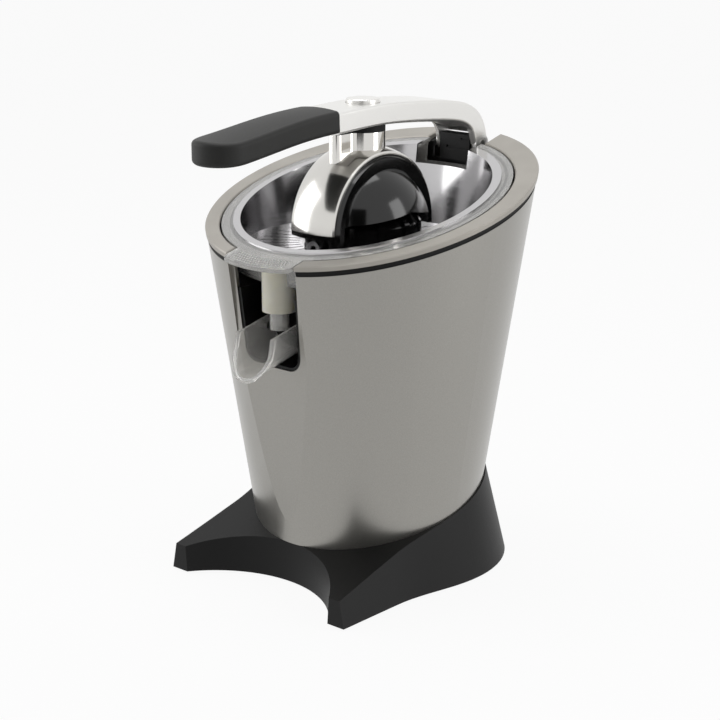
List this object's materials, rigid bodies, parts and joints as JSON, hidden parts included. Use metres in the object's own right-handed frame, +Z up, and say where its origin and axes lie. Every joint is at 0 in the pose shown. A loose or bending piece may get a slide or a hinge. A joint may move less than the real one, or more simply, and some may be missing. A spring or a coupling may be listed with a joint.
{
  "type": "citrus press juicer",
  "caption": "Upright citrus press: lever with press dome over a driven reamer, strainer bowl in a clear juice tray, tilting drip-stop spout over a two-pronged stand.",
  "frame": {"origin": "on the body's axis, on the underside of the base plate, 1.5 mm above the feet's resting plane", "axes": "+Z up along the body axis, +X to the right, -Y towards the spout and the lever's grip"},
  "size_m": [0.2198, 0.261, 0.3164],
  "materials": {
    "stand_black": "satin black moulding",
    "foot_rubber": "matte",
    "screw_steel": "machined",
    "body_metal": "satin warm grey metallic",
    "joint_black": "matte",
    "collar_metal": "satin warm grey metallic",
    "chassis_plastic": "satin",
    "clear_tray": "clear moulded plastic",
    "bowl_steel": "bright drawn sheet",
    "milky_outlet": "milky translucent",
    "motor_steel": "zinc plated",
    "gearbox_plastic": "natural moulding",
    "arm_aluminium": "satin",
    "grip_plastic": "soft-touch dark grey",
    "polished_chrome": "polished",
    "gloss_black": "gloss black",
    "gear_plastic": "natural acetal"
  },
  "bodies": {
    "housing": {"base_stand": "stand_black", "rubber_feet": "foot_rubber", "base_plate": "stand_black", "base_screws": "screw_steel", "cord_inlet": "foot_rubber", "body_shell": "body_metal", "shell_gasket": "joint_black", "top_collar": "collar_metal", "inner_chassis": "chassis_plastic", "hub_plug": "screw_steel", "shaft_seal": "foot_rubber", "hinge_tower": "chassis_plastic", "hinge_pin": "screw_steel", "juice_tray": "clear_tray", "strainer_bowl": "bowl_steel", "juice_outlet": "milky_outlet", "outlet_nozzle": "clear_tray", "spout_pivots": "screw_steel", "motor_stator": "motor_steel", "gearbox_base": "gearbox_plastic", "gearbox_cover": "gearbox_plastic", "gearbox_screws": "screw_steel", "idler_axle": "screw_steel", "micro_switch": "joint_black"},
    "lever": {"lever_arm": "arm_aluminium", "lever_grip": "grip_plastic", "neck": "polished_chrome", "neck_pad": "joint_black", "dome_cover": "polished_chrome", "press_cup": "gloss_black"},
    "button": {"release_button": "arm_aluminium"},
    "spout": {"drip_spout": "clear_tray"},
    "carriage": {"thrust_carriage": "gear_plastic", "return_spring": "screw_steel"},
    "reamer_unit": {"reamer": "gloss_black", "drive_shaft": "screw_steel", "shaft_circlip": "screw_steel"},
    "output_wheel": {"output_gear": "gear_plastic"},
    "idler_wheel": {"idler_gear": "gear_plastic"},
    "rotor": {"motor_rotor": "motor_steel"},
    "plunger": {"switch_plunger": "gear_plastic"}
  },
  "joints": [
    {"name": "lever_hinge", "type": "hinge", "parent": "housing", "child": "lever", "pos_m": [0, 0.1005, 0.2745], "axis": [-1, 0, 0], "range_deg": [0, 75]},
    {"name": "button_press", "type": "slide", "parent": "lever", "child": "button", "axis": [0, 0, -1], "range_m": [0, 0.0025], "stiffness_N_per_m": 900, "springref_m": -0.002},
    {"name": "spout_tilt", "type": "hinge", "parent": "housing", "child": "spout", "pos_m": [0, -0.08, 0.175], "axis": [-1, 0, 0], "range_deg": [0, 35]},
    {"name": "press_slide", "type": "slide", "parent": "housing", "child": "carriage", "axis": [0, 0, -1], "range_m": [0, 0.002], "stiffness_N_per_m": 1500, "springref_m": -0.004, "deforming": ["return_spring"]},
    {"name": "reamer_spin", "type": "hinge", "parent": "carriage", "child": "reamer_unit", "pos_m": [0, -0.004, 0], "axis": [0, 0, 1], "continuous": true},
    {"name": "output_spin", "type": "hinge", "parent": "housing", "child": "output_wheel", "pos_m": [0, -0.004, 0], "axis": [0, 0, 1], "continuous": true},
    {"name": "idler_spin", "type": "hinge", "parent": "housing", "child": "idler_wheel", "pos_m": [0, 0.03975, 0], "axis": [0, 0, 1], "continuous": true},
    {"name": "rotor_spin", "type": "hinge", "parent": "housing", "child": "rotor", "pos_m": [0, 0.00475, 0], "axis": [0, 0, 1], "continuous": true},
    {"name": "switch_press", "type": "slide", "parent": "housing", "child": "plunger", "axis": [0, 0, -1], "range_m": [0, 0.002]}
  ],
  "couplings": [
    {"joint": "reamer_spin", "follows": "output_spin", "ratio": 1},
    {"joint": "idler_spin", "follows": "output_spin", "ratio": -4},
    {"joint": "rotor_spin", "follows": "output_spin", "ratio": 12},
    {"joint": "switch_press", "follows": "press_slide", "ratio": 1}
  ]
}
